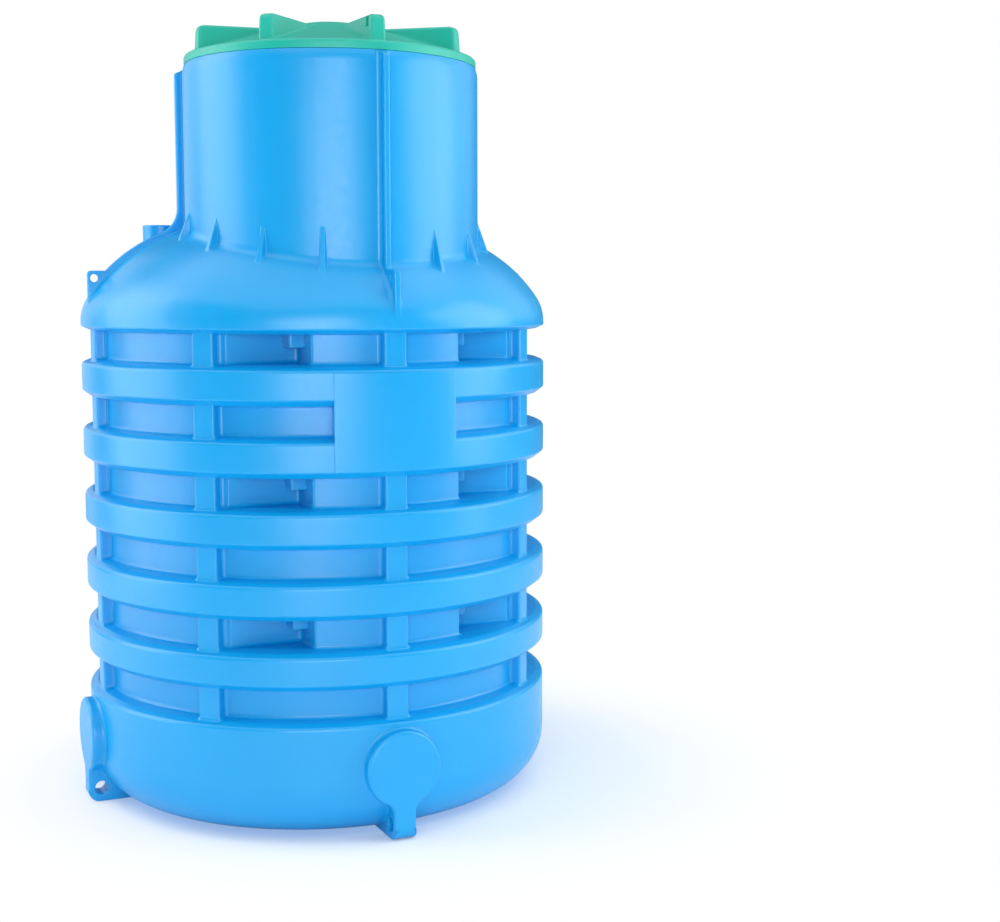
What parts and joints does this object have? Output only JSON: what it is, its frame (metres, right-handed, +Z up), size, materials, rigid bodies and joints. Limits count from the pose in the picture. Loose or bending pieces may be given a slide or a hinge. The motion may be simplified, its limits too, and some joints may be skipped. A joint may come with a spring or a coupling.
{
  "type": "well caisson",
  "caption": "Ribbed plastic well caisson: a round chamber with stiffening hoops, moulded footholds, tie-down lugs, a domed shoulder, an off-centre manhole neck and a lift-off lid.",
  "frame": {"origin": "on the chamber's axis, at the level of its flat bottom", "axes": "+Z up; -Y towards the footholds and the manhole neck"},
  "size_m": [1.356, 1.356, 2.1213],
  "materials": {
    "body_plastic": "satin moulded polyethylene, sky blue",
    "lid_plastic": "satin moulded polyethylene, sea green"
  },
  "bodies": {
    "caisson": {"back_fin": "body_plastic", "back_lug": "body_plastic", "base_floor": "body_plastic", "base_tub": "body_plastic", "casing_socket": "body_plastic", "front_fin": "body_plastic", "front_lug": "body_plastic", "hoop_1": "body_plastic", "hoop_2": "body_plastic", "hoop_3": "body_plastic", "hoop_4": "body_plastic", "hoop_5": "body_plastic", "label_panel": "body_plastic", "left_fin": "body_plastic", "left_lug": "body_plastic", "lower_step_left": "body_plastic", "lower_step_right": "body_plastic", "middle_step_left": "body_plastic", "middle_step_right": "body_plastic", "neck": "body_plastic", "neck_gussets": "body_plastic", "right_fin": "body_plastic", "right_lug": "body_plastic", "shoulder": "body_plastic", "upper_step_left": "body_plastic", "upper_step_right": "body_plastic", "vent_boss": "body_plastic", "wall_band_1": "body_plastic", "wall_band_2": "body_plastic", "wall_band_3": "body_plastic", "wall_band_4": "body_plastic", "wall_band_5": "body_plastic", "wall_band_6": "body_plastic"},
    "lid": {"lid_cover": "lid_plastic", "lid_ribs": "lid_plastic"}
  },
  "joints": [
    {"name": "lid_lift", "type": "slide", "parent": "caisson", "child": "lid", "axis": [0, 0, 1], "range_m": [0, 0.4]}
  ]
}
